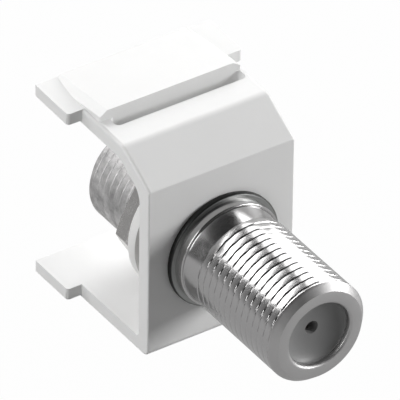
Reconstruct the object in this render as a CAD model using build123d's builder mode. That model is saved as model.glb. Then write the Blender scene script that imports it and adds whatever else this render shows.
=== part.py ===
"""Snap-in wall-plate module: a white moulded U-shaped housing that carries a nickel-plated
female-to-female F coupler. The front faces -Y, +Z is up, and the origin lies on the coupler's
axis in the plane of the housing's flat front face."""
from build123d import *
import os
from math import cos, hypot, pi, radians, tan

os.makedirs("parts", exist_ok=True)

# Housing, in millimetres
housing_width = 14.55
face_height = 16.92
housing_height = 19.32
housing_depth = 15.0
top_chamfer_depth = 4.04
wall_thickness = 1.38
chamfer_thickness = 1.38
plate_thickness = 1.38
arm_lift = 0.24
outer_bend_radius = 1.4
inner_bend_radius = 3.0
wall_bend_radius = 1.8
floor_corner_radius = 0.4
bottom_corner_radius = 0.7
front_edge_radius = 0.15
top_edge_radius = 0.3
axis_height = 8.64

# Side tabs that stop against the back of the wall plate
tab_front = 10.08
tab_reach = 1.44
tab_thickness = 1.1
tab_corner_radius = 0.3

# Latch on the top arm: a groove for the wall plate's ledge and the ramp behind it
groove_front = 6.59
groove_left = 6.1
groove_right = 6.9
groove_length = 1.22
groove_depth = 1.1
groove_floor = 0.65
groove_corner_radius = 0.45
latch_width = 14.0
latch_front_rise = 0.94
latch_rear_rise = 0.19
latch_side_run = 0.72
latch_side_drop = 0.48

# Fixed catch under the bottom plate
catch_width = 10.0
catch_drop = 0.5
catch_slope_length = 1.3
catch_land_length = 0.5

# Coupler body
thread_diameter = 9.525
front_reach = 14.65
rear_reach = 13.5
barrel_wall = 1.46
lip_height = 0.3
lip_length = 0.5
tip_chamfer_depth = 0.61
tip_chamfer_length = 0.7
shoulder_height = 0.2
shoulder_length = 0.9
shoulder_edge = 0.1
neck_depth = 0.36
neck_length = 2.0
hole_clearance = 0.1

# Washers, spacer and nut, their heights counted from the crest of the thread
front_washer_height = 0.66
front_washer_thickness = 0.6
spacer_height = 1.64
spacer_thickness = 2.07
flat_washer_height = 1.6
flat_washer_thickness = 1.1
washer_edge = 0.12
nut_flat_height = 0.79
nut_thickness = 2.1
nut_corner_depth = 0.35
nut_corner_angle = 30
nut_thread_depth = 0.38
ring_clearance = 0.08

# Insulators
insulator_flange_length = 2.0
insulator_inner_flange_length = 1.6
insulator_waist_depth = 1.0
dish_depth = 0.6
dish_margin = 0.35
dish_middle_depth = 0.46
funnel_radius = 0.95
funnel_depth = 0.25
entry_radius = 0.7
entry_length = 1.0

# Centre contact
contact_radius = 0.95
contact_clearance = 0.06
contact_bore_radius = 0.5
contact_bore_length = 6.0
contact_collar_radius = 1.5
contact_collar_length = 1.0
finger_slot_width = 0.25
finger_slot_length = 5.0
finger_mouth_depth = 0.2
contact_end_gap = 0.25

# Radii, levels and stations worked out from the sizes above
thread_radius = thread_diameter / 2
tip_flat_radius = thread_radius - tip_chamfer_depth
neck_radius = thread_radius - neck_depth
shoulder_radius = thread_radius + shoulder_height
bore_radius = thread_radius - barrel_wall
port_radius = bore_radius - lip_height
ring_bore = thread_radius + ring_clearance
nut_bore = thread_radius - nut_thread_depth
nut_flat_radius = thread_radius + nut_flat_height
dish_radius = bore_radius - dish_margin
bottom_level = -axis_height
face_top_level = bottom_level + face_height
top_level = bottom_level + housing_height
floor_level = bottom_level + plate_thickness
chamfer_rise = top_level - face_top_level
arm_slope = arm_lift / (housing_depth - top_chamfer_depth)
groove_rear = groove_front + groove_length
shoulder_face = front_washer_thickness
shoulder_front = shoulder_face + shoulder_length
thread_start = shoulder_front + neck_length
spacer_rear = wall_thickness + spacer_thickness
flat_washer_rear = spacer_rear + flat_washer_thickness
nut_rear = flat_washer_rear + nut_thickness
contact_middle = (rear_reach - front_reach) / 2


def arm_top(y):
    """Height of the sprung arm's top, which lifts a little towards its free end."""
    return top_level + (y - top_chamfer_depth) * arm_slope


groove_bottom = arm_top(groove_front) - groove_depth

# Inner side of the slope, a chamfer's thickness below its outer side
slope_length = hypot(top_chamfer_depth, chamfer_rise)
inset_y = chamfer_thickness * chamfer_rise / slope_length
inset_z = -chamfer_thickness * top_chamfer_depth / slope_length
slope_rate = chamfer_rise / top_chamfer_depth
inner_slope_foot = (wall_thickness, face_top_level + inset_z + (wall_thickness - inset_y) * slope_rate)
climb = arm_top(inset_y) - plate_thickness - (face_top_level + inset_z)
inner_arm_start = inset_y + climb / (slope_rate - arm_slope)
inner_slope_top = (inner_arm_start, arm_top(inner_arm_start) - plate_thickness)

# Ramp behind the groove, lower along both sides
with BuildPart() as latch_ramp:
    with BuildSketch(Plane.YZ):
        with BuildLine():
            Polyline(
                (groove_rear, groove_bottom),
                (groove_rear, arm_top(groove_rear) + latch_front_rise),
                (housing_depth, arm_top(housing_depth) + latch_rear_rise),
                (housing_depth, groove_bottom),
                close=True,
            )
        make_face()
    extrude(amount=latch_width / 2, both=True)
    ramp_top = latch_ramp.faces().sort_by(Axis.Z)[-1]
    ramp_sides = ramp_top.edges().filter_by(lambda edge: abs(edge.center().X) > latch_width / 4)
    chamfer(ramp_sides, latch_side_run, latch_side_drop, reference=ramp_top)


def tab_bar(front_level, rear_level):
    """A bar across the housing whose two ends stand out as side tabs, given its top's two levels."""
    with BuildPart() as bar:
        with BuildSketch(Plane.YZ):
            with BuildLine():
                Polyline(
                    (tab_front, front_level),
                    (housing_depth, rear_level),
                    (housing_depth, rear_level - tab_thickness),
                    (tab_front, front_level - tab_thickness),
                    close=True,
                )
            make_face()
        extrude(amount=housing_width / 2 + tab_reach, both=True)
        front_corners = bar.edges().filter_by(Axis.Z).group_by(Axis.Y)[0]
        fillet(front_corners, tab_corner_radius)
    return bar.part


# Housing, moulded in one piece: a U section drawn across the width, with its ramp, tabs, groove and catch
with BuildPart() as housing:
    with BuildSketch(Plane.YZ) as section:
        with BuildLine():
            Polyline(
                (0, bottom_level),
                (0, face_top_level),
                (top_chamfer_depth, top_level),
                (housing_depth, arm_top(housing_depth)),
                (housing_depth, arm_top(housing_depth) - plate_thickness),
                inner_slope_top,
                inner_slope_foot,
                (wall_thickness, floor_level),
                (housing_depth, floor_level),
                (housing_depth, bottom_level),
                close=True,
            )
        make_face()
        rounded_corners = [
            ((top_chamfer_depth, top_level), outer_bend_radius),
            (inner_slope_top, inner_bend_radius),
            (inner_slope_foot, wall_bend_radius),
            ((wall_thickness, floor_level), floor_corner_radius),
            ((0, bottom_level), bottom_corner_radius),
        ]
        for corner, radius in rounded_corners:
            fillet(section.vertices().sort_by_distance(corner)[0], radius)
    extrude(amount=housing_width / 2, both=True)
    slope_face = housing.faces().sort_by_distance((0, top_chamfer_depth / 2, face_top_level + chamfer_rise / 2))[0]
    slope_sides = slope_face.edges().filter_by(lambda edge: abs(edge.center().X) > housing_width / 4)
    fillet(slope_sides, top_edge_radius)
    front_face = housing.faces().filter_by(Plane.XZ).sort_by(Axis.Y)[0]
    front_edges = front_face.edges().filter_by(lambda edge: edge.center().Z > bottom_level + bottom_corner_radius)
    fillet(front_edges, front_edge_radius)
    add(latch_ramp.part)
    add(tab_bar(arm_top(tab_front), arm_top(housing_depth)))
    add(tab_bar(floor_level, floor_level))
    # The arm dips under the groove, so that its wall goes on below it
    with BuildSketch(Plane.XY.offset(groove_bottom)):
        with Locations(((groove_right - groove_left) / 2, groove_front + groove_length / 2)):
            Rectangle(groove_left + groove_right, groove_length + 2 * groove_floor)
    extrude(amount=-groove_floor)
    with BuildSketch(Plane.XY.offset(groove_bottom)):
        with Locations(((groove_right - groove_left) / 2, groove_front + groove_length / 2)):
            RectangleRounded(groove_left + groove_right, groove_length, groove_corner_radius)
    extrude(amount=arm_top(groove_rear) - groove_bottom, mode=Mode.SUBTRACT)
    with BuildSketch(Plane.YZ):
        with BuildLine():
            Polyline(
                (groove_front, bottom_level),
                (groove_front, bottom_level - catch_drop),
                (groove_front - catch_land_length, bottom_level - catch_drop),
                (groove_front - catch_land_length - catch_slope_length, bottom_level),
                close=True,
            )
        make_face()
    extrude(amount=catch_width / 2, both=True)
    with BuildSketch(Plane.XZ):
        Circle(thread_radius + hole_clearance)
    extrude(amount=-2 * wall_thickness, mode=Mode.SUBTRACT)
housing.part.label = "housing"

# Coupler body, turned in one piece with its round shoulder. Both threads are left plain, at their
# major radius, and at the minor radius inside the nut, where the threads of the two run together
with BuildPart() as coupler_body:
    with BuildSketch(Plane.XY):
        with BuildLine():
            Polyline(
                (port_radius, -front_reach),
                (tip_flat_radius, -front_reach),
                (thread_radius, -front_reach + tip_chamfer_length),
                (thread_radius, -thread_start),
                (neck_radius, -thread_start + thread_radius - neck_radius),
                (neck_radius, -shoulder_front),
                (shoulder_radius - shoulder_edge, -shoulder_front),
                (shoulder_radius, -shoulder_front + shoulder_edge),
                (shoulder_radius, -shoulder_face),
                (thread_radius, -shoulder_face),
                (thread_radius, flat_washer_rear),
                (nut_bore - ring_clearance, flat_washer_rear),
                (nut_bore - ring_clearance, nut_rear),
                (thread_radius, nut_rear),
                (thread_radius, rear_reach - tip_chamfer_length),
                (tip_flat_radius, rear_reach),
                (port_radius, rear_reach),
                (port_radius, rear_reach - lip_length),
                (bore_radius, rear_reach - lip_length),
                (bore_radius, -front_reach + lip_length),
                (port_radius, -front_reach + lip_length),
                close=True,
            )
        make_face()
    revolve(axis=Axis.Y)
coupler_body.part.label = "coupler_body"


def ring(height, front, thickness):
    """A flat ring round the coupler with both outer edges broken."""
    with BuildPart() as piece:
        with BuildSketch(Plane.XZ.offset(-front)):
            Circle(thread_radius + height)
            Circle(ring_bore, mode=Mode.SUBTRACT)
        extrude(amount=-thickness)
        rims = piece.edges().filter_by(GeomType.CIRCLE).filter_by(lambda e: e.radius > ring_bore + washer_edge)
        chamfer(rims, washer_edge)
    return piece


front_washer = ring(front_washer_height, -front_washer_thickness, front_washer_thickness)
front_washer.part.label = "front_washer"
spacer_ring = ring(spacer_height, wall_thickness, spacer_thickness)
spacer_ring.part.label = "spacer_ring"
flat_washer = ring(flat_washer_height, spacer_rear, flat_washer_thickness)
flat_washer.part.label = "flat_washer"

# Hex nut with its corners turned off at an angle, flats level at top and bottom
with BuildPart() as hex_nut:
    with BuildSketch(Plane.XZ.offset(-flat_washer_rear)):
        RegularPolygon(nut_flat_radius, 6, major_radius=False)
    extrude(amount=-nut_thickness)
    corner_run = nut_corner_depth / tan(radians(nut_corner_angle))
    corner_radius = nut_flat_radius / cos(pi / 6)
    with BuildSketch(Plane.XY):
        with BuildLine():
            Polyline(
                (0, flat_washer_rear),
                (corner_radius - corner_run, flat_washer_rear),
                (corner_radius, flat_washer_rear + nut_corner_depth),
                (corner_radius, nut_rear - nut_corner_depth),
                (corner_radius - corner_run, nut_rear),
                (0, nut_rear),
                close=True,
            )
        make_face()
    revolve(axis=Axis.Y, mode=Mode.INTERSECT)
    with BuildSketch(Plane.XZ.offset(-flat_washer_rear)):
        Circle(nut_bore)
    extrude(amount=-nut_thickness, mode=Mode.SUBTRACT)
hex_nut.part.label = "hex_nut"


def insulator(face, inner):
    """A spool that fills the bore at both ends, dished at its outer face with a funnel at its hole."""
    way = 1 if inner > face else -1
    seat_radius = contact_radius + contact_clearance
    waist_radius = bore_radius - insulator_waist_depth
    funnel_end = face + way * (dish_depth + funnel_depth)
    counterbore = funnel_end + way * entry_length
    with BuildPart() as piece:
        with BuildSketch(Plane.XY):
            with BuildLine():
                dish = ThreePointArc(
                    (dish_radius, face),
                    ((dish_radius + funnel_radius) / 2, face + way * dish_middle_depth),
                    (funnel_radius, face + way * dish_depth),
                )
                Polyline(
                    dish @ 1,
                    (entry_radius, funnel_end),
                    (entry_radius, counterbore),
                    (seat_radius, counterbore),
                    (seat_radius, inner),
                    (bore_radius, inner),
                    (bore_radius, inner - way * insulator_inner_flange_length),
                    (waist_radius, inner - way * insulator_inner_flange_length),
                    (waist_radius, face + way * insulator_flange_length),
                    (bore_radius, face + way * insulator_flange_length),
                    (bore_radius, face),
                    dish @ 0,
                )
            make_face()
        revolve(axis=Axis.Y)
    return piece


collar_front = contact_middle - contact_collar_length / 2
collar_rear = contact_middle + contact_collar_length / 2
front_insulator = insulator(-front_reach + lip_length, collar_front)
front_insulator.part.label = "front_insulator"
rear_insulator = insulator(rear_reach - lip_length, collar_rear)
rear_insulator.part.label = "rear_insulator"

# Centre contact: a tube with a collar at its middle and four slotted spring fingers at each end
with BuildPart() as centre_contact:
    entry_run = lip_length + dish_depth + funnel_depth + entry_length
    half_length = (front_reach + rear_reach) / 2 - entry_run - contact_end_gap
    with BuildSketch(Plane.XY):
        with BuildLine():
            Polyline(
                (0, collar_rear),
                (contact_collar_radius, collar_rear),
                (contact_collar_radius, collar_front),
                (contact_radius, collar_front),
                (contact_radius, contact_middle - half_length),
                (contact_bore_radius + finger_mouth_depth, contact_middle - half_length),
                (contact_bore_radius, contact_middle - half_length + finger_mouth_depth),
                (contact_bore_radius, contact_middle - half_length + contact_bore_length),
                (0, contact_middle - half_length + contact_bore_length),
                close=True,
            )
        make_face()
    revolve(axis=Axis.Y)
    mirror(about=Plane.XZ.offset(-contact_middle))
    for side in (-1, 1):
        slot_plane = Plane.XZ.offset(-(contact_middle + side * half_length))
        with BuildSketch(slot_plane):
            Rectangle(4 * contact_radius, finger_slot_width)
            Rectangle(finger_slot_width, 4 * contact_radius)
        extrude(amount=side * finger_slot_length, mode=Mode.SUBTRACT)
centre_contact.part.label = "centre_contact"

pieces = [
    housing,
    coupler_body,
    front_washer,
    spacer_ring,
    flat_washer,
    hex_nut,
    front_insulator,
    rear_insulator,
    centre_contact,
]
for piece in pieces:
    export_step(piece.part, f"parts/{piece.part.label}.step")
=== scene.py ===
"""Looks of the snap-in F coupler module: moulded housing, nickel-plated coupler with its threads,
washers, nut and insulators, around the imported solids."""
from math import cos, pi, radians, sin, tan

import bmesh
import bpy
from mathutils import Matrix, Vector

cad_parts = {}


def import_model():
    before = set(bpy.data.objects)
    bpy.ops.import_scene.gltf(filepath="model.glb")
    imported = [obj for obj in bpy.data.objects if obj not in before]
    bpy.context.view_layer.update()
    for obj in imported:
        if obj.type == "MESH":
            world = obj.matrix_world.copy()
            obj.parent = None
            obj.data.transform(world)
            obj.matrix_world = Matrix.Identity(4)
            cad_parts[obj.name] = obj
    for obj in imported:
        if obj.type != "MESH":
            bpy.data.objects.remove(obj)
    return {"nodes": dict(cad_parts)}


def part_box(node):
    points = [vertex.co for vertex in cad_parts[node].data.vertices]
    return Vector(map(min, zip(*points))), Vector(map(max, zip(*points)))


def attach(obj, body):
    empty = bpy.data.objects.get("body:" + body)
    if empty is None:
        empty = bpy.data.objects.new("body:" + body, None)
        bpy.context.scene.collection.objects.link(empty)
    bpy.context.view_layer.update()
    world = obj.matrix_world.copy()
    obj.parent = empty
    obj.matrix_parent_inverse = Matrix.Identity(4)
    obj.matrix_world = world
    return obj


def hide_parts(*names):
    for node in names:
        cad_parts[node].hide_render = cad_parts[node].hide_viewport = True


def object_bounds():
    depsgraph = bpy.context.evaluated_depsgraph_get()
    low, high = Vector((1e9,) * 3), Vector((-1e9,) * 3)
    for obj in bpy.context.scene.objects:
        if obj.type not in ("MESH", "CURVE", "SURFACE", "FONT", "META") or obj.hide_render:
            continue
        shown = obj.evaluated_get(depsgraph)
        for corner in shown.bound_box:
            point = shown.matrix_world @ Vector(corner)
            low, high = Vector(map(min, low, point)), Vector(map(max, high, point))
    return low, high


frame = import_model()
cad_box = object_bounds()
mm = 0.001


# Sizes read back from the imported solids, in millimetres

def span(node, axis):
    """Lowest and highest value of a solid on an axis, in millimetres."""
    low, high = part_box(node)
    return low[axis] / mm, high[axis] / mm


front_end, rear_end = span("coupler_body", 1)
shoulder_radius = span("coupler_body", 0)[1]
washer_front = span("front_washer", 1)[0]
nut_rear = span("hex_nut", 1)[1]
bore_radius = span("front_insulator", 0)[1]

# The thread: its standard size, the depth of its grooves and the crown between them, the share of
# the pitch that is flat at the crest and at the root, counted from their middles, the rear thread's
# share of the depth, and how far inside the nut it starts
crest_radius = 9.525 / 2
thread_pitch = 25.4 / 32
thread_cut = 0.11
thread_crown = 0.009
crest_half_width = 0.40
root_half_width = 0.02
rear_thread_share = 0.4
thread_in_nut = 0.9
root_radius = crest_radius - thread_cut

# The coupler's lips, rims, chamfered tips, neck and shoulder
lip_width = 0.3
lip_length = 0.5
port_radius = bore_radius - lip_width
rim_round = 0.3
rim_step = 0.03
tip_drop, tip_run = 0.61, 0.7
tip_flat = crest_radius - tip_drop
run_out = 0.1
neck_radius = crest_radius - 0.36
neck_length = 2.0
shoulder_length = 0.9

# How much wider the neck is, and how far behind the thread's run-out, where its widening starts
neck_widening_start = (0.01, 0.06)
# The same at the shoulder, with the distance counted from the shoulder's face
neck_widening_end = [(0.34, -0.08), (0.35, -0.03), (0.38, 0.0), (0.42, 0.0)]

# The insulators: a spool between two lands, with a dished face, a funnel and an entry hole
inner_land = 1.6
outer_land = 2.0
spool_waist = bore_radius - 1.0
dish_start = bore_radius - 0.35
dish_depth, dish_steps = 0.8, 20
dish_bend = 0.8
funnel_radius, funnel_length = 0.64, 0.25
entry_radius, entry_length = 0.52, 1.0
entry_bevel, entry_lead = 0.02, 0.05
socket_radius = 1.01

# Rounded edges, the rings' clearance round the thread, and how finely pieces are turned
housing_edge = 0.12
nut_edge = 0.1
ring_edge = 0.12
front_ring_edge = 0.15
ring_clearance = 0.08
seam_gap = 0.002
sides_round = 144
sides_fine = 132
samples_per_pitch = 24

# Stations between which the nickel turns dull: towards the rear barrel, and at the front tip; and the
# radius beyond which the front ring's side is darkened with painted shade
rear_dull = (1.0, 4.0)
tip_dull = (front_end + 0.95, front_end + 0.45)
painted_shade_rim_radius = 5.36


# Nodes in short calls

def add_node(tree, kind, **settings):
    """A node of that kind, with its settings and unlinked inputs filled in by name or number."""
    node = tree.nodes.new(kind)
    for key, value in settings.pop("inputs", {}).items():
        node.inputs[key].default_value = value
    for key, value in settings.items():
        setattr(node, key, value)
    return node


def maths(tree, operation, first, second=None):
    """A Math node's result, from sockets or plain numbers."""
    node = tree.nodes.new("ShaderNodeMath")
    node.operation = operation
    for slot, value in enumerate((first, second)):
        if value is None:
            continue
        if isinstance(value, (int, float)):
            node.inputs[slot].default_value = value
        else:
            tree.links.new(value, node.inputs[slot])
    return node.outputs[0]


# Geometry Nodes: a turned piece, with a thread cut where its section says so

def turning_tree():
    """Turns a section, drawn as a line of points at (radius, station), about the Y axis. Where the
    point attribute cut is above 0, that share of a right-hand V thread is cut below the crest radius."""
    tree = bpy.data.node_groups.new("turned_piece", "GeometryNodeTree")
    face = tree.interface
    face.new_socket("Section", in_out="INPUT", socket_type="NodeSocketGeometry")
    for name, kind in (
        ("Sides", "NodeSocketInt"),
        ("Pitch", "NodeSocketFloat"),
        ("Crest Radius", "NodeSocketFloat"),
        ("Thread Depth", "NodeSocketFloat"),
        ("Material", "NodeSocketMaterial"),
    ):
        face.new_socket(name, in_out="INPUT", socket_type=kind)
    face.new_socket("Piece", in_out="OUTPUT", socket_type="NodeSocketGeometry")
    links = tree.links
    given = tree.nodes.new("NodeGroupInput").outputs
    result = tree.nodes.new("NodeGroupOutput").inputs

    size = add_node(tree, "GeometryNodeAttributeDomainSize", component="MESH")
    links.new(given["Section"], size.inputs[0])
    rows = maths(tree, "ADD", given["Sides"], 1)
    grid = add_node(tree, "GeometryNodeMeshGrid")
    links.new(size.outputs["Point Count"], grid.inputs["Vertices X"])
    links.new(rows, grid.inputs["Vertices Y"])

    index = tree.nodes.new("GeometryNodeInputIndex").outputs[0]
    number = maths(tree, "FLOOR", maths(tree, "DIVIDE", maths(tree, "ADD", index, 0.5), rows))
    turn = maths(tree, "SUBTRACT", index, maths(tree, "MULTIPLY", number, rows))
    share = maths(tree, "DIVIDE", turn, given["Sides"])

    point = add_node(tree, "GeometryNodeSampleIndex", data_type="FLOAT_VECTOR", domain="POINT")
    links.new(given["Section"], point.inputs["Geometry"])
    links.new(tree.nodes.new("GeometryNodeInputPosition").outputs[0], point.inputs["Value"])
    links.new(number, point.inputs["Index"])
    parts = tree.nodes.new("ShaderNodeSeparateXYZ")
    links.new(point.outputs[0], parts.inputs[0])
    radius, station = parts.outputs["X"], parts.outputs["Y"]

    cut = add_node(tree, "GeometryNodeSampleIndex", data_type="FLOAT", domain="POINT")
    named = add_node(tree, "GeometryNodeInputNamedAttribute", data_type="FLOAT", inputs={"Name": "cut"})
    links.new(given["Section"], cut.inputs["Geometry"])
    links.new(named.outputs["Attribute"], cut.inputs["Value"])
    links.new(number, cut.inputs["Index"])

    advance = maths(tree, "DIVIDE", station, given["Pitch"])
    phase = maths(tree, "FRACT", maths(tree, "ADD", advance, share))
    flank = maths(tree, "ABSOLUTE", maths(tree, "SUBTRACT", phase, 0.5))
    valley = add_node(tree, "ShaderNodeMapRange", interpolation_type="LINEAR",
                      inputs={"From Min": crest_half_width, "From Max": 0.5 - root_half_width})
    links.new(flank, valley.inputs["Value"])
    depth = maths(tree, "MULTIPLY", valley.outputs["Result"], given["Thread Depth"])
    crown = maths(tree, "MULTIPLY", maths(tree, "POWER", flank, 2), 4 * thread_crown * mm)
    depth = maths(tree, "ADD", depth, crown)
    threaded = maths(tree, "MINIMUM", radius, maths(tree, "SUBTRACT", given["Crest Radius"], depth))
    change = maths(tree, "MULTIPLY", cut.outputs[0], maths(tree, "SUBTRACT", threaded, radius))
    final = maths(tree, "ADD", radius, change)

    angle = maths(tree, "MULTIPLY", share, 2 * pi)
    where = tree.nodes.new("ShaderNodeCombineXYZ")
    links.new(maths(tree, "MULTIPLY", final, maths(tree, "COSINE", angle)), where.inputs["X"])
    links.new(station, where.inputs["Y"])
    links.new(maths(tree, "MULTIPLY", final, maths(tree, "SINE", angle)), where.inputs["Z"])
    placed = tree.nodes.new("GeometryNodeSetPosition")
    links.new(grid.outputs["Mesh"], placed.inputs["Geometry"])
    links.new(where.outputs[0], placed.inputs["Position"])
    seam = add_node(tree, "GeometryNodeMergeByDistance", inputs={"Distance": seam_gap * mm})
    links.new(placed.outputs[0], seam.inputs["Geometry"])
    real = tree.nodes.new("GeometryNodeRealizeInstances")
    links.new(seam.outputs[0], real.inputs[0])
    painted = tree.nodes.new("GeometryNodeSetMaterial")
    links.new(real.outputs[0], painted.inputs["Geometry"])
    links.new(given["Material"], painted.inputs["Material"])
    links.new(painted.outputs[0], result["Piece"])
    return tree


def turned(name, section, material, sides=sides_round, crest=0.0, sharp=30):
    """A closed turned piece. The section is a closed list of (radius, station, cut) in millimetres."""
    mesh = bpy.data.meshes.new(name + "_section")
    closed = section + section[:1]
    points = [(r * mm, y * mm, 0) for r, y, _ in closed]
    mesh.from_pydata(points, [(i, i + 1) for i in range(len(points) - 1)], [])
    cuts = [float(cut) for _, _, cut in closed]
    mesh.attributes.new("cut", "FLOAT", "POINT").data.foreach_set("value", cuts)
    drawn = bpy.data.objects.new(name + "_drawn", mesh)
    bpy.context.collection.objects.link(drawn)
    modifier = drawn.modifiers.new("turning", "NODES")
    modifier.node_group = turning
    values = {
        "Sides": sides,
        "Pitch": thread_pitch * mm,
        "Crest Radius": crest * mm,
        "Thread Depth": thread_cut * mm,
        "Material": material,
    }
    for item in turning.interface.items_tree:
        if item.in_out == "INPUT" and item.name in values:
            modifier[item.identifier] = values[item.name]
    return finished(name, evaluated(drawn), sharp)


def evaluated(piece):
    """The mesh that a piece's modifiers make. The piece itself is removed."""
    mesh = bpy.data.meshes.new_from_object(piece.evaluated_get(bpy.context.evaluated_depsgraph_get()))
    bpy.data.objects.remove(piece)
    return mesh


def finished(name, mesh, sharp):
    """An object of that mesh with outward faces, smooth but for edges sharper than the angle."""
    shape = bmesh.new()
    shape.from_mesh(mesh)
    bmesh.ops.remove_doubles(shape, verts=shape.verts, dist=seam_gap / 2 * mm)
    bmesh.ops.recalc_face_normals(shape, faces=shape.faces)
    shape.to_mesh(mesh)
    shape.free()
    mesh.shade_smooth()
    mesh.set_sharp_from_angle(angle=radians(sharp))
    mesh.name = name
    piece = bpy.data.objects.new(name, mesh)
    bpy.context.collection.objects.link(piece)
    return piece


# Solids with softened edges

def softened(node_name, name, width, material, segments=3):
    """A copy of a solid with its flat faces whole again and its sharp edges rounded."""
    flat_within, sharp_beyond = radians(0.5), radians(25)
    mesh = frame["nodes"][node_name].data.copy()
    shape = bmesh.new()
    shape.from_mesh(mesh)
    bmesh.ops.remove_doubles(shape, verts=shape.verts, dist=seam_gap * mm)
    bmesh.ops.dissolve_limit(shape, angle_limit=flat_within, verts=shape.verts, edges=shape.edges)
    shape.to_mesh(mesh)
    shape.free()
    mesh.materials.clear()
    mesh.materials.append(material)
    piece = bpy.data.objects.new(name, mesh)
    bpy.context.collection.objects.link(piece)
    bevel = piece.modifiers.new("edges", "BEVEL")
    bevel.width = width * mm
    bevel.segments = segments
    bevel.limit_method = "ANGLE"
    bevel.angle_limit = sharp_beyond
    bevel.miter_outer = "MITER_ARC"
    return levelled(finished(name, evaluated(piece), sharp=35))


def levelled(piece):
    """The same piece with its normals weighted by face area, so that flat faces look flat."""
    name = piece.name
    weighted = piece.modifiers.new("flat_faces", "WEIGHTED_NORMAL")
    weighted.mode = "FACE_AREA"
    weighted.weight = 90
    weighted.keep_sharp = True
    mesh = evaluated(piece)
    mesh.name = name
    whole = bpy.data.objects.new(name, mesh)
    bpy.context.collection.objects.link(whole)
    return whole


# Shader groups shared by the materials

def shader_group(name, inputs):
    """A shader node group with those inputs, which gives colour, roughness and height. Returns the
    tree, the inputs' sockets and the results' sockets."""
    tree = bpy.data.node_groups.new(name, "ShaderNodeTree")
    for label, kind, value in inputs:
        socket = tree.interface.new_socket(label, in_out="INPUT", socket_type=kind)
        socket.default_value = value
    for label, kind in (
        ("Colour", "NodeSocketColor"),
        ("Roughness", "NodeSocketFloat"),
        ("Height", "NodeSocketFloat"),
    ):
        tree.interface.new_socket(label, in_out="OUTPUT", socket_type=kind)
    return tree, tree.nodes.new("NodeGroupInput").outputs, tree.nodes.new("NodeGroupOutput").inputs


def smooth_range(tree, value, start, end, low=0.0, high=1.0):
    """A value that goes smoothly from low to high between start and end."""
    node = add_node(tree, "ShaderNodeMapRange", interpolation_type="SMOOTHSTEP",
                    inputs={"From Min": start, "From Max": end, "To Min": low, "To Max": high})
    tree.links.new(value, node.inputs["Value"])
    return node.outputs[0]


def noise(tree, at, scale, detail, roughness):
    """A noise value from 0 to 1 at a place."""
    node = add_node(tree, "ShaderNodeTexNoise",
                    inputs={"Scale": scale, "Detail": detail, "Roughness": roughness})
    tree.links.new(at, node.inputs["Vector"])
    return node.outputs["Fac"]


def shaded(tree, colour, strength):
    """A colour made lighter or darker by a strength."""
    node = add_node(tree, "ShaderNodeVectorMath", operation="SCALE")
    tree.links.new(colour, node.inputs[0])
    tree.links.new(strength, node.inputs["Scale"])
    return node.outputs[0]


def moulding_group():
    """The faint unevenness of a moulded skin: a slow drift of tone and gloss, and a fine pebble."""
    gloss_drift = 0.12
    tree, given, result = shader_group("moulded_skin", [
        ("Colour", "NodeSocketColor", (0.8, 0.8, 0.8, 1)),
        ("Drift", "NodeSocketFloat", 0.02),
        ("Roughness", "NodeSocketFloat", 0.4),
        ("Pebble", "NodeSocketFloat", 0.1),
    ])
    links = tree.links
    at = tree.nodes.new("ShaderNodeTexCoord").outputs["Object"]
    slow = noise(tree, at, scale=180, detail=3, roughness=0.6)
    swing = maths(tree, "SUBTRACT", slow, 0.5)
    shade = maths(tree, "ADD", 1, maths(tree, "MULTIPLY", swing, given["Drift"]))
    links.new(shaded(tree, given["Colour"], shade), result["Colour"])
    gloss = maths(tree, "ADD", given["Roughness"], maths(tree, "MULTIPLY", swing, gloss_drift))
    links.new(gloss, result["Roughness"])
    pebble = noise(tree, at, scale=2600, detail=2, roughness=0.5)
    links.new(maths(tree, "MULTIPLY", pebble, given["Pebble"]), result["Height"])
    return tree


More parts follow.
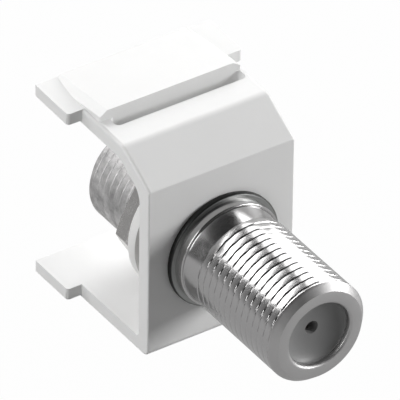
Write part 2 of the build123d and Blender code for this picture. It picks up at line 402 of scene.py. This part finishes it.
def lathe_marks_and_shade_group():
    """Turning marks: fine rings round the Y axis, and slow patches in tone and gloss. The rear and the
    front tip may be duller, and a ring's rim, beyond a radius, is darkened with painted shade."""
    dull_patches, dull_gloss, patch_gloss = 2.2, 0.4, 0.25
    rim_before, rim_past, painted_shade_tone = -0.08, 0.02, 0.12
    tree, given, result = shader_group("lathe_marks_and_rim_shade", [
        ("Colour", "NodeSocketColor", (0.7, 0.7, 0.7, 1)),
        ("Patch", "NodeSocketFloat", 0.1),
        ("Roughness", "NodeSocketFloat", 0.2),
        ("Rings", "NodeSocketFloat", 0.3),
        ("Rear Dullness", "NodeSocketFloat", 0.0),
        ("Tip Dullness", "NodeSocketFloat", 0.0),
        ("Painted Shade Beyond Radius", "NodeSocketFloat", 1.0),
    ])
    links = tree.links
    at = tree.nodes.new("ShaderNodeTexCoord").outputs["Object"]
    parts = tree.nodes.new("ShaderNodeSeparateXYZ")
    links.new(at, parts.inputs[0])
    station = parts.outputs["Y"]
    across = maths(tree, "POWER", parts.outputs["X"], 2)
    upward = maths(tree, "POWER", parts.outputs["Z"], 2)
    radius = maths(tree, "SQRT", maths(tree, "ADD", across, upward))
    ring_at = tree.nodes.new("ShaderNodeCombineXYZ")
    links.new(radius, ring_at.inputs["X"])
    links.new(station, ring_at.inputs["Y"])
    rings = noise(tree, ring_at.outputs[0], scale=9000, detail=2, roughness=0.6)
    patches = noise(tree, at, scale=800, detail=7, roughness=0.72)
    swing = maths(tree, "SUBTRACT", patches, 0.5)

    rear = smooth_range(tree, station, rear_dull[0] * mm, rear_dull[1] * mm)
    dull = maths(tree, "MULTIPLY", rear, given["Rear Dullness"])
    patch = maths(tree, "ADD", given["Patch"], maths(tree, "MULTIPLY", dull, dull_patches))
    shade = maths(tree, "ADD", 1, maths(tree, "MULTIPLY", swing, patch))
    # Painted shade: beyond the given radius the colour darkens to a small share, in place of the shadow
    # on a ring's side
    past = maths(tree, "SUBTRACT", radius, given["Painted Shade Beyond Radius"])
    rim = smooth_range(tree, past, rim_before * mm, rim_past * mm, low=1.0, high=painted_shade_tone)
    links.new(shaded(tree, given["Colour"], maths(tree, "MULTIPLY", shade, rim)), result["Colour"])

    tip = smooth_range(tree, station, tip_dull[0] * mm, tip_dull[1] * mm)
    gloss = maths(tree, "ADD", given["Roughness"], maths(tree, "MULTIPLY", swing, patch_gloss))
    gloss = maths(tree, "ADD", gloss, maths(tree, "MULTIPLY", tip, given["Tip Dullness"]))
    gloss = maths(tree, "ADD", gloss, maths(tree, "MULTIPLY", dull, dull_gloss))
    links.new(gloss, result["Roughness"])
    links.new(maths(tree, "MULTIPLY", rings, given["Rings"]), result["Height"])
    return tree


def surface(name, group, values, bump_distance, **constants):
    """A Principled material fed by a shared group, with its constants on the shader's own sockets.
    The bump's distance is in millimetres."""
    material = bpy.data.materials.new(name)
    material.use_nodes = True
    tree = material.node_tree
    shader = tree.nodes["Principled BSDF"]
    for label, value in constants.items():
        shader.inputs[label].default_value = value
    skin = tree.nodes.new("ShaderNodeGroup")
    skin.node_tree = group
    for label, value in values.items():
        skin.inputs[label].default_value = value
    bump = add_node(tree, "ShaderNodeBump", inputs={"Strength": 1.0, "Distance": bump_distance * mm})
    tree.links.new(skin.outputs["Colour"], shader.inputs["Base Color"])
    tree.links.new(skin.outputs["Roughness"], shader.inputs["Roughness"])
    tree.links.new(skin.outputs["Height"], bump.inputs["Height"])
    tree.links.new(bump.outputs["Normal"], shader.inputs["Normal"])
    return material


turning = turning_tree()
moulding = moulding_group()
lathe_marks_and_shade = lathe_marks_and_shade_group()

white_plastic = surface(
    "white_plastic", moulding,
    {"Colour": (0.87, 0.87, 0.865, 1), "Drift": 0.05, "Roughness": 0.38, "Pebble": 0.3},
    bump_distance=0.01, IOR=1.5,
)
nickel = surface(
    "nickel", lathe_marks_and_shade,
    {"Colour": (0.48, 0.475, 0.475, 1), "Patch": 0.12, "Roughness": 0.2, "Rings": 0.3,
     "Rear Dullness": 0.9, "Tip Dullness": 0.28},
    bump_distance=0.006, Metallic=1.0,
)
nut_nickel = surface(
    "nut_nickel", lathe_marks_and_shade,
    {"Colour": (0.62, 0.61, 0.6, 1), "Patch": 0.35, "Roughness": 0.26, "Rings": 0.6},
    bump_distance=0.006, Metallic=1.0,
)
dull_nickel = surface(
    "dull_nickel", lathe_marks_and_shade,
    {"Colour": (0.45, 0.44, 0.43, 1), "Patch": 0.3, "Roughness": 0.32, "Rings": 0.6},
    bump_distance=0.01, Metallic=1.0,
)
# The front ring's side, beyond the radius, is darkened with painted shade
dark_steel = surface(
    "dark_steel", lathe_marks_and_shade,
    {"Colour": (0.3, 0.305, 0.3, 1), "Patch": 0.3, "Roughness": 0.4, "Rings": 2.0,
     "Painted Shade Beyond Radius": painted_shade_rim_radius * mm},
    bump_distance=0.01, Metallic=1.0,
)
grey_insulator = surface(
    "grey_insulator", moulding,
    {"Colour": (0.24, 0.24, 0.24, 1), "Drift": 0.1, "Roughness": 0.45, "Pebble": 0.4},
    bump_distance=0.01, IOR=1.5,
)
pale_washer = surface(
    "pale_washer", lathe_marks_and_shade,
    {"Colour": (0.9, 0.9, 0.89, 1), "Patch": 0.05, "Roughness": 0.45, "Rings": 0.5},
    bump_distance=0.006, Metallic=0.4,
)
spring_bronze = surface(
    "spring_bronze", lathe_marks_and_shade,
    {"Colour": (0.72, 0.58, 0.36, 1), "Patch": 0.1, "Roughness": 0.25, "Rings": 0.4},
    bump_distance=0.006, Metallic=1.0,
)


# Turned pieces, each from its section

def thread_run(start, end, cut=1.0):
    """Section points along a thread, close enough together for its flanks."""
    count = round(abs(end - start) / thread_pitch * samples_per_pitch)
    return [(crest_radius, start + (end - start) * i / count, cut) for i in range(count + 1)]


def tip_taper(start, start_radius, end_radius):
    """Section points along a chamfered tip, where the thread runs out."""
    count = round(tip_run / thread_pitch * samples_per_pitch)
    slope = (end_radius - start_radius) / count
    return [(start_radius + slope * i, start + tip_run * i / count, 1) for i in range(1, count)]


def arc(middle, radius, start, end, steps=5):
    """Section points on an arc, angles in degrees from the radial direction towards +Y."""
    turns = [radians(start + (end - start) * i / steps) for i in range(steps + 1)]
    return [(middle[0] + radius * cos(t), middle[1] + radius * sin(t), 0) for t in turns]


def coupler():
    """The turned body: lips, rims, chamfered tips, threads, neck and round shoulder."""
    shoulder_front = washer_front - shoulder_length
    thread_end = shoulder_front - neck_length
    neck_front = thread_end + 2 * run_out
    rear_thread_start = nut_rear - thread_in_nut
    rim_middle = port_radius + rim_round
    section = arc((rim_middle, front_end + rim_round), rim_round, 180, 270, 6)
    section += [(tip_flat - ring_edge, front_end, 0), (tip_flat, front_end + rim_step, 0)]
    section += tip_taper(front_end, tip_flat, crest_radius)
    section += thread_run(front_end + tip_run, thread_end)
    section += [(root_radius, thread_end + run_out, 0), (neck_radius, neck_front, 0)]
    wider, behind = neck_widening_start
    section += [(neck_radius + wider, neck_front + behind, 0)]
    section += [(neck_radius + wider, shoulder_front + behind, 0) for wider, behind in neck_widening_end]
    section += arc((shoulder_radius - ring_edge, shoulder_front + ring_edge), ring_edge, -90, 0)
    section += [(shoulder_radius, washer_front, 0), (crest_radius, washer_front, 0)]
    section += [(crest_radius, rear_thread_start - run_out, 0)]
    section += thread_run(rear_thread_start, rear_end - tip_run, rear_thread_share)
    section += tip_taper(rear_end - tip_run, crest_radius, tip_flat)
    section += [(tip_flat, rear_end - rim_step, 0), (tip_flat - ring_edge, rear_end, 0)]
    section += arc((rim_middle, rear_end - rim_round), rim_round, 90, 180, 6)
    section += [(port_radius, rear_end - lip_length, 0), (bore_radius, rear_end - lip_length, 0)]
    section += [(bore_radius, front_end + lip_length, 0), (port_radius, front_end + lip_length, 0)]
    return turned("coupler", section, nickel, sides_fine, crest=crest_radius, sharp=38)


def washer(node, name, material, edge, steps=4):
    """A flat ring with rounded outer edges, in the place of a solid."""
    outer = span(node, 0)[1]
    front, rear = span(node, 1)
    bore = crest_radius + ring_clearance
    section = [(bore, front, 0)]
    section += arc((outer - edge, front + edge), edge, -90, 0, steps)
    section += arc((outer - edge, rear - edge), edge, 0, 90, steps)
    section += [(bore, rear, 0)]
    return turned(name, section, material, sides_fine)


def insulator(node, name, way):
    """The spool of grey plastic in a port: a dished face with a funnel at its entry hole. The way is
    1 where the face looks to the front, and -1 where it looks to the rear."""
    front, rear = span(node, 1)
    face, inner = (front, rear) if way > 0 else (rear, front)
    inner_step = inner - way * inner_land
    outer_step = face + way * outer_land
    funnel_end = face + way * (dish_depth + funnel_length)
    entry_end = funnel_end + way * entry_length
    section = [(bore_radius, inner, 0), (bore_radius, inner_step, 0)]
    section += [(spool_waist, inner_step, 0), (spool_waist, outer_step, 0)]
    section += [(bore_radius, outer_step, 0), (bore_radius, face, 0)]
    for i in range(dish_steps + 1):
        turn = i / dish_steps * pi / 2
        inward = (1 - cos(turn)) ** dish_bend
        radius = dish_start + (funnel_radius - dish_start) * inward
        section.append((radius, face + way * dish_depth * sin(turn), 0))
    section += [(entry_radius + entry_bevel, funnel_end - way * entry_bevel, 0)]
    section += [(entry_radius, funnel_end + way * entry_lead, 0), (entry_radius, entry_end, 0)]
    section += [(socket_radius, entry_end, 0), (socket_radius, inner, 0)]
    return turned(name, section, grey_insulator)


# Each piece rides on the part and stands for its solid

def place(piece, node):
    """The piece rides on the part and stands for the solid."""
    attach(piece, "root")
    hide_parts(node)


place(softened("housing", "housing_shell", housing_edge, white_plastic), "housing")
place(coupler(), "coupler_body")
place(washer("front_washer", "front_ring", dark_steel, front_ring_edge), "front_washer")
place(washer("spacer_ring", "spacer", dull_nickel, ring_edge), "spacer_ring")
place(washer("flat_washer", "washer", pale_washer, ring_edge), "flat_washer")
place(softened("hex_nut", "nut", nut_edge, nut_nickel, segments=2), "hex_nut")
place(insulator("front_insulator", "front_spool", 1), "front_insulator")
place(insulator("rear_insulator", "rear_spool", -1), "rear_insulator")
contact = frame["nodes"]["centre_contact"]
contact.data.materials.clear()
contact.data.materials.append(spring_bronze)


# Floor, light and camera

def floor():
    """A pale floor that the object's lowest edge touches. The camera sees it nearly white, and
    polished metal sees it light grey."""
    level = cad_box[0][2]
    reach = 1.5
    seen_glow, mirrored_glow = 0.985, 0.4
    mesh = bpy.data.meshes.new("floor")
    corners = [(-reach, -reach), (reach, -reach), (reach, reach), (-reach, reach)]
    mesh.from_pydata([(x, y, level) for x, y in corners], [], [(0, 1, 2, 3)])
    plane = bpy.data.objects.new("floor", mesh)
    bpy.context.collection.objects.link(plane)
    material = bpy.data.materials.new("floor_paper")
    material.use_nodes = True
    tree = material.node_tree
    shader = tree.nodes["Principled BSDF"]
    shader.inputs["Base Color"].default_value = (0.3, 0.3, 0.3, 1)
    shader.inputs["Roughness"].default_value = 0.9
    shader.inputs["Specular IOR Level"].default_value = 0.1
    glow = add_node(tree, "ShaderNodeEmission", inputs={"Color": (1, 1, 1, 1), "Strength": 1.0})
    ray = tree.nodes.new("ShaderNodeLightPath").outputs
    mirrored = maths(tree, "MAXIMUM", ray["Is Glossy Ray"], ray["Is Transmission Ray"])
    mirrored = maths(tree, "MULTIPLY", mirrored, mirrored_glow)
    seen = maths(tree, "MULTIPLY", ray["Is Camera Ray"], seen_glow)
    blend = tree.nodes.new("ShaderNodeMixShader")
    tree.links.new(maths(tree, "ADD", seen, mirrored), blend.inputs["Fac"])
    tree.links.new(shader.outputs[0], blend.inputs[1])
    tree.links.new(glow.outputs[0], blend.inputs[2])
    tree.links.new(blend.outputs[0], tree.nodes["Material Output"].inputs["Surface"])
    mesh.materials.append(material)


def softbox(name, azimuth, elevation, wide, high, radiance):
    """A rectangular lamp that faces the object. Its place and its size as seen from the object are in
    degrees, the azimuth from +Y towards +X."""
    distance = 0.4
    around, up = radians(azimuth), radians(elevation)
    toward = Vector((sin(around) * cos(up), cos(around) * cos(up), sin(up)))
    lamp = bpy.data.lights.new(name, "AREA")
    lamp.shape = "RECTANGLE"
    lamp.size = 2 * distance * tan(radians(wide / 2))
    lamp.size_y = 2 * distance * tan(radians(high / 2))
    lamp.energy = radiance * pi * lamp.size * lamp.size_y
    box = bpy.data.objects.new(name, lamp)
    turn = (-toward).to_track_quat("-Z", "Y").to_matrix().to_4x4()
    box.matrix_world = Matrix.Translation(toward * distance) @ turn
    bpy.context.collection.objects.link(box)


def world():
    """A plain studio: a pale wall behind the object, dark above and in front, grey at the horizon."""
    wall_glow, room_glow, horizon_glow = 0.36, 0.045, 0.2
    sky = bpy.data.worlds.new("studio")
    sky.use_nodes = True
    bpy.context.scene.world = sky
    tree = sky.node_tree
    back = tree.nodes["Background"]
    at = tree.nodes.new("ShaderNodeTexCoord").outputs["Generated"]
    parts = tree.nodes.new("ShaderNodeSeparateXYZ")
    tree.links.new(at, parts.inputs[0])
    rear, height = parts.outputs["Y"], parts.outputs["Z"]
    behind = smooth_range(tree, rear, start=0.5, end=0.74, low=0.0, high=wall_glow)
    below_ceiling = smooth_range(tree, height, start=0.74, end=0.84, low=1.0, high=0.0)
    horizon = smooth_range(tree, height, start=0.0, end=0.16, low=horizon_glow, high=room_glow)
    wall = maths(tree, "MULTIPLY", behind, below_ceiling)
    tree.links.new(maths(tree, "ADD", wall, horizon), back.inputs["Strength"])
    back.inputs["Color"].default_value = (1, 1, 1, 1)


def camera():
    """The photograph's view: a long lens from the front left, looking down."""
    distance, azimuth, elevation, roll = 700.0, radians(-34.34), radians(36.35), radians(-0.87)
    pixels_per_mm, frame_pixels, sensor = 12.01, 400, 36
    offset_x, offset_y = 21.17, 38.94
    target = Vector((0, 0, 0.8)) * mm
    back = Vector((sin(azimuth) * cos(elevation), -cos(azimuth) * cos(elevation), sin(elevation)))
    right = (-back).cross(Vector((0, 0, 1))).normalized()
    down = (-back).cross(right)
    turned_right = right * cos(roll) + down * sin(roll)
    turned_down = down * cos(roll) - right * sin(roll)
    eye = bpy.data.cameras.new("camera")
    eye.lens = pixels_per_mm * distance / frame_pixels * sensor
    eye.sensor_width = sensor
    eye.shift_x = -offset_x / frame_pixels
    eye.shift_y = offset_y / frame_pixels
    eye.clip_start = 0.01
    eye.clip_end = 10
    viewer = bpy.data.objects.new("camera", eye)
    turn = Matrix((turned_right, -turned_down, back)).transposed().to_4x4()
    viewer.matrix_world = Matrix.Translation(target + back * distance * mm) @ turn
    bpy.context.collection.objects.link(viewer)
    bpy.context.scene.camera = viewer


floor()
softbox("rear_left", azimuth=-18, elevation=38, wide=44, high=22, radiance=5.2)
softbox("rear_right", azimuth=46, elevation=30, wide=30, high=46, radiance=3.4)
softbox("left", azimuth=-92, elevation=28, wide=26, high=35, radiance=5.2)
softbox("right", azimuth=120, elevation=16, wide=40, high=20, radiance=10.9)
world()
camera()
bpy.context.scene.view_settings.view_transform = "Standard"
